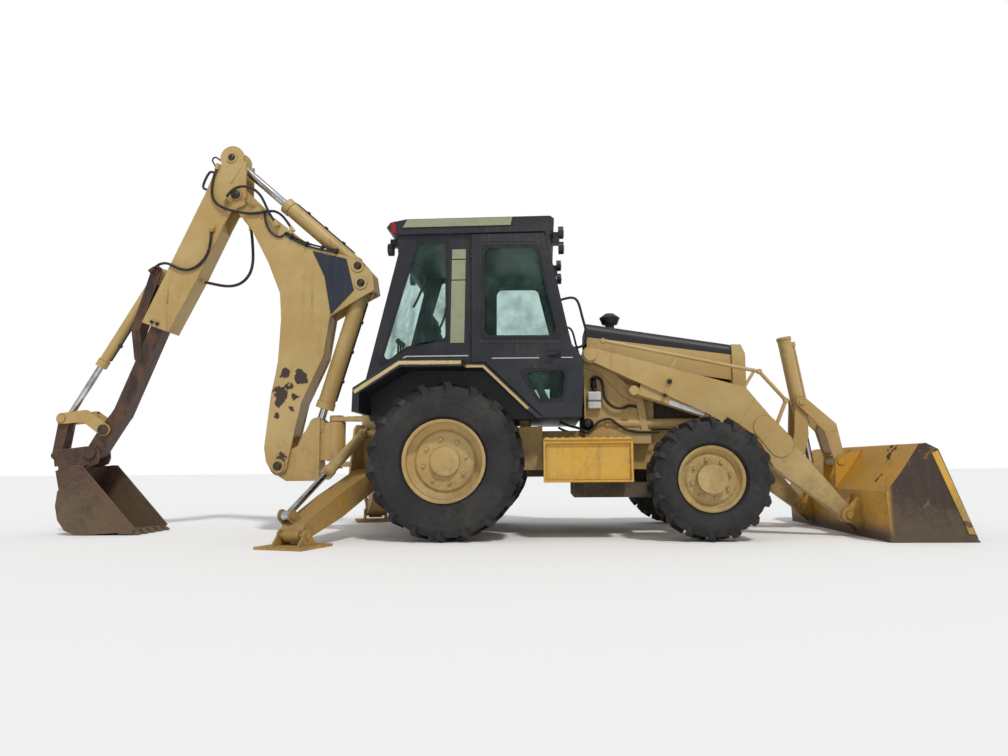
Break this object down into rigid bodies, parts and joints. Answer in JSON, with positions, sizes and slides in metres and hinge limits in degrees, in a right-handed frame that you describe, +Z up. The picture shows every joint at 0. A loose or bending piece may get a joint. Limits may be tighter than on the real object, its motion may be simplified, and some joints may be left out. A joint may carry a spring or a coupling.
{
  "type": "backhoe loader",
  "caption": "Wheeled tractor with a closed cab, a front loader with a wide bucket, and a rear backhoe with a banana boom, an extendible stick, a toothed bucket and stabilisers.",
  "frame": {"origin": "on the ground under the middle of the machine's length and width", "axes": "+X forward toward the loader bucket, +Y to the machine's left, +Z up"},
  "size_m": [7.9306, 3.2694, 3.74],
  "materials": {
    "paint": "faded tan yellow paint",
    "sunny": "orange yellow paint",
    "dark": "dark cab paint",
    "rust": "worn rusty steel",
    "chrome": "chromed rod",
    "tyre": "black rubber",
    "glass": "green tinted glass",
    "trim": "matt trim",
    "iron": "dark castings",
    "hose": "black rubber hose"
  },
  "bodies": {
    "chassis": {"main_frame": "paint", "engine_and_drive": "iron", "rear_axle": "paint", "front_axle": "paint", "step_boxes": "sunny", "hood": "dark", "grille": "paint", "fenders": "dark", "cab_frame": "dark", "cab_roof": "dark", "cab_glass": "glass", "seat_and_controls": "trim", "tie_down_eyes": "paint"},
    "rear_wheel_right": {"rear_tyre_right": "tyre", "rear_rim_right": "paint"},
    "rear_wheel_left": {"rear_tyre_left": "tyre", "rear_rim_left": "paint"},
    "front_wheel_right": {"front_tyre_right": "tyre", "front_rim_right": "paint"},
    "front_wheel_left": {"front_tyre_left": "tyre", "front_rim_left": "paint"},
    "knuckle_right": {"knuckle_right": "paint"},
    "knuckle_left": {"knuckle_left": "paint"},
    "door_right": {"door_right": "dark", "door_glass_right": "glass"},
    "door_left": {"door_left": "dark", "door_glass_left": "glass"},
    "loader_arms": {"loader_arms": "paint"},
    "lift_barrels": {"lift_barrels": "paint"},
    "lift_rods": {"lift_rods": "chrome"},
    "loader_bucket": {"loader_bucket": "sunny"},
    "tilt_lever": {"tilt_lever": "paint"},
    "tilt_link": {"tilt_link": "paint"},
    "tilt_barrel": {"tilt_barrel": "paint"},
    "tilt_rod": {"tilt_rod": "chrome"},
    "swing": {"swing_post": "paint"},
    "boom": {"boom": "paint", "hose_loop": "hose", "hose_pivot": "hose", "hose_arch": "hose"},
    "boom_barrel": {"boom_barrel": "paint"},
    "boom_rod": {"boom_rod": "chrome"},
    "stick": {"stick": "paint", "hose_stick": "hose"},
    "stick_barrel": {"stick_barrel": "paint"},
    "stick_rod": {"stick_rod": "chrome"},
    "extension": {"stick_extension": "rust"},
    "rocker": {"rocker_link": "paint"},
    "h_link": {"h_link": "rust"},
    "bucket_barrel": {"bucket_barrel": "paint"},
    "bucket_rod": {"bucket_rod": "chrome"},
    "hoe_bucket": {"hoe_bucket": "rust"},
    "stab_leg_right": {"stab_leg_right": "paint"},
    "stab_pad_right": {"stab_pad_right": "sunny"},
    "stab_barrel_right": {"stab_barrel_right": "paint"},
    "stab_rod_right": {"stab_rod_right": "chrome"},
    "stab_leg_left": {"stab_leg_left": "paint"},
    "stab_pad_left": {"stab_pad_left": "sunny"},
    "stab_barrel_left": {"stab_barrel_left": "paint"},
    "stab_rod_left": {"stab_rod_left": "chrome"}
  },
  "joints": [
    {"name": "rear_wheel_right_spin", "type": "hinge", "parent": "chassis", "child": "rear_wheel_right", "pos_m": [-0.07, -0.866, 0.64], "axis": [0, 1, 0], "continuous": true},
    {"name": "rear_wheel_left_spin", "type": "hinge", "parent": "chassis", "child": "rear_wheel_left", "pos_m": [-0.07, 0.866, 0.64], "axis": [0, 1, 0], "continuous": true},
    {"name": "steer_right", "type": "hinge", "parent": "chassis", "child": "knuckle_right", "pos_m": [2.03, -0.79, 0.485], "axis": [0, 0, 1], "range_deg": [-38, 38]},
    {"name": "steer_left", "type": "hinge", "parent": "chassis", "child": "knuckle_left", "pos_m": [2.03, 0.79, 0.485], "axis": [0, 0, 1], "range_deg": [-38, 38]},
    {"name": "front_wheel_right_spin", "type": "hinge", "parent": "knuckle_right", "child": "front_wheel_right", "pos_m": [2.03, -0.95, 0.485], "axis": [0, 1, 0], "continuous": true},
    {"name": "front_wheel_left_spin", "type": "hinge", "parent": "knuckle_left", "child": "front_wheel_left", "pos_m": [2.03, 0.95, 0.485], "axis": [0, 1, 0], "continuous": true},
    {"name": "door_right_hinge", "type": "hinge", "parent": "chassis", "child": "door_right", "pos_m": [0.13, -0.77, 1.7], "axis": [0, 0, -1], "range_deg": [0, 75]},
    {"name": "door_left_hinge", "type": "hinge", "parent": "chassis", "child": "door_left", "pos_m": [0.13, 0.77, 1.7], "axis": [0, 0, 1], "range_deg": [0, 75]},
    {"name": "lift", "type": "hinge", "parent": "chassis", "child": "loader_arms", "pos_m": [1.135, 0, 1.539], "axis": [0, -1, 0], "range_deg": [-3, 78]},
    {"name": "lift_barrel_turn", "type": "hinge", "parent": "chassis", "child": "lift_barrels", "pos_m": [1.5, 0, 1.225], "axis": [0, -1, 0], "range_deg": [-5.05, 93.8]},
    {"name": "lift_rod_slide", "type": "slide", "parent": "lift_barrels", "child": "lift_rods", "axis": [0.9459, 0, -0.3244], "range_m": [-0.027, 0.556]},
    {"name": "bucket_tilt", "type": "hinge", "parent": "loader_arms", "child": "loader_bucket", "pos_m": [3.2226, 0, 0.17811], "axis": [0, -1, 0], "range_deg": [-70, 16]},
    {"name": "tilt_lever_turn", "type": "hinge", "parent": "loader_arms", "child": "tilt_lever", "pos_m": [2.99417, 0, 0.62426], "axis": [0, -1, 0], "range_deg": [-68.93, 16.91]},
    {"name": "tilt_link_turn", "type": "hinge", "parent": "tilt_lever", "child": "tilt_link", "pos_m": [3.06029, 0, 1.15213], "axis": [0, -1, 0], "range_deg": [-14.01, 56.22]},
    {"name": "tilt_barrel_turn", "type": "hinge", "parent": "tilt_lever", "child": "tilt_barrel", "pos_m": [3.06029, 0, 1.15213], "axis": [0, -1, 0], "range_deg": [-2.97, 7.95]},
    {"name": "tilt_rod_slide", "type": "slide", "parent": "tilt_barrel", "child": "tilt_rod", "axis": [0.1585, 0, -0.9874], "range_m": [-0.215, 0.054]},
    {"name": "swing", "type": "hinge", "parent": "chassis", "child": "swing", "pos_m": [-1.23, 0, 0.845], "axis": [0, 0, 1], "range_deg": [-90, 90]},
    {"name": "boom_hinge", "type": "hinge", "parent": "swing", "child": "boom", "pos_m": [-1.74, 0, 0.614], "axis": [0, -1, 0], "range_deg": [-3, 75]},
    {"name": "boom_barrel_turn", "type": "hinge", "parent": "boom", "child": "boom_barrel", "pos_m": [-0.984, 0, 2.333], "axis": [0, -1, 0], "range_deg": [-1.91, 11.85]},
    {"name": "boom_rod_slide", "type": "slide", "parent": "boom_barrel", "child": "boom_rod", "axis": [-0.2946, 0, -0.9556], "range_m": [-0.028, 0.561]},
    {"name": "stick_hinge", "type": "hinge", "parent": "boom", "child": "stick", "pos_m": [-2.234, 0, 3.243], "axis": [0, 1, 0], "range_deg": [-15, 90], "deforming": ["hose_loop", "hose_pivot", "hose_arch"]},
    {"name": "stick_barrel_turn", "type": "hinge", "parent": "boom", "child": "stick_barrel", "pos_m": [-1.015, 0, 2.5], "axis": [0, -1, 0], "range_deg": [-5.49, 2.17]},
    {"name": "stick_rod_slide", "type": "slide", "parent": "stick_barrel", "child": "stick_rod", "axis": [-0.7494, 0, 0.6621], "range_m": [-0.517, 0.091]},
    {"name": "extend", "type": "slide", "parent": "stick", "child": "extension", "axis": [-0.3746, 0, -0.9272], "range_m": [0, 0.95], "deforming": ["hose_stick"]},
    {"name": "hoe_bucket_curl", "type": "hinge", "parent": "extension", "child": "hoe_bucket", "pos_m": [-3.558, 0, 0.755], "axis": [0, -1, 0], "range_deg": [-80, 75]},
    {"name": "rocker_turn", "type": "hinge", "parent": "extension", "child": "rocker", "pos_m": [-3.447, 0, 0.97], "axis": [0, -1, 0], "range_deg": [-66.77, 62.69]},
    {"name": "h_link_turn", "type": "hinge", "parent": "hoe_bucket", "child": "h_link", "pos_m": [-3.917, 0, 0.731], "axis": [0, -1, 0], "range_deg": [-49.19, 52.37]},
    {"name": "bucket_barrel_turn", "type": "hinge", "parent": "extension", "child": "bucket_barrel", "pos_m": [-3.013, 0, 2.51], "axis": [0, -1, 0], "range_deg": [-2.11, 2.07]},
    {"name": "bucket_rod_slide", "type": "slide", "parent": "bucket_barrel", "child": "bucket_rod", "axis": [-0.5131, 0, -0.8583], "range_m": [-0.44, 0.413]},
    {"name": "stab_right", "type": "hinge", "parent": "chassis", "child": "stab_leg_right", "pos_m": [-0.84, -0.4, 0.5], "axis": [0.9511, -0.309, 0], "range_deg": [-72, 5]},
    {"name": "stab_barrel_right_turn", "type": "hinge", "parent": "chassis", "child": "stab_barrel_right", "pos_m": [-0.88161, -0.33391, 0.9], "axis": [0.9511, -0.309, 0], "range_deg": [-71.27, 6.34]},
    {"name": "stab_rod_right_slide", "type": "slide", "parent": "stab_barrel_right", "child": "stab_rod_right", "axis": [-0.2643, -0.8135, -0.518], "range_m": [-0.474, 0.038]},
    {"name": "stab_pad_right_turn", "type": "hinge", "parent": "stab_leg_right", "child": "stab_pad_right", "pos_m": [-1.15829, -1.37959, 0.09], "axis": [0.9511, -0.309, 0], "range_deg": [-20, 20]},
    {"name": "stab_left", "type": "hinge", "parent": "chassis", "child": "stab_leg_left", "pos_m": [-0.84, 0.4, 0.5], "axis": [0.9511, 0.309, 0], "range_deg": [-5, 72]},
    {"name": "stab_barrel_left_turn", "type": "hinge", "parent": "chassis", "child": "stab_barrel_left", "pos_m": [-0.88161, 0.33391, 0.9], "axis": [0.9511, 0.309, 0], "range_deg": [-6.34, 71.27]},
    {"name": "stab_rod_left_slide", "type": "slide", "parent": "stab_barrel_left", "child": "stab_rod_left", "axis": [-0.2643, 0.8135, -0.518], "range_m": [-0.474, 0.038]},
    {"name": "stab_pad_left_turn", "type": "hinge", "parent": "stab_leg_left", "child": "stab_pad_left", "pos_m": [-1.15829, 1.37959, 0.09], "axis": [0.9511, 0.309, 0], "range_deg": [-20, 20]}
  ],
  "couplings": [
    {"joint": "steer_left", "follows": "steer_right", "ratio": 1},
    {"joint": "lift_barrel_turn", "follows": "lift", "ratio": 1.1833},
    {"joint": "lift_rod_slide", "follows": "lift", "m_per_rad": 0.4039},
    {"joint": "tilt_lever_turn", "follows": "bucket_tilt", "ratio": 0.9633},
    {"joint": "tilt_link_turn", "follows": "bucket_tilt", "ratio": -0.7817},
    {"joint": "tilt_barrel_turn", "follows": "bucket_tilt", "ratio": -0.0921},
    {"joint": "tilt_rod_slide", "follows": "bucket_tilt", "m_per_rad": 0.1708},
    {"joint": "boom_barrel_turn", "follows": "boom_hinge", "ratio": 0.138},
    {"joint": "boom_rod_slide", "follows": "boom_hinge", "m_per_rad": 0.424},
    {"joint": "stick_barrel_turn", "follows": "stick_hinge", "ratio": -0.0443},
    {"joint": "stick_rod_slide", "follows": "stick_hinge", "m_per_rad": -0.325},
    {"joint": "rocker_turn", "follows": "hoe_bucket_curl", "ratio": 0.8158},
    {"joint": "h_link_turn", "follows": "hoe_bucket_curl", "ratio": -0.6358},
    {"joint": "bucket_barrel_turn", "follows": "hoe_bucket_curl", "ratio": 0.0076},
    {"joint": "bucket_rod_slide", "follows": "hoe_bucket_curl", "m_per_rad": 0.3106},
    {"joint": "stab_barrel_right_turn", "follows": "stab_right", "ratio": 0.969},
    {"joint": "stab_rod_right_slide", "follows": "stab_right", "m_per_rad": 0.3721},
    {"joint": "stab_barrel_left_turn", "follows": "stab_left", "ratio": 0.969},
    {"joint": "stab_rod_left_slide", "follows": "stab_left", "m_per_rad": -0.3721}
  ]
}
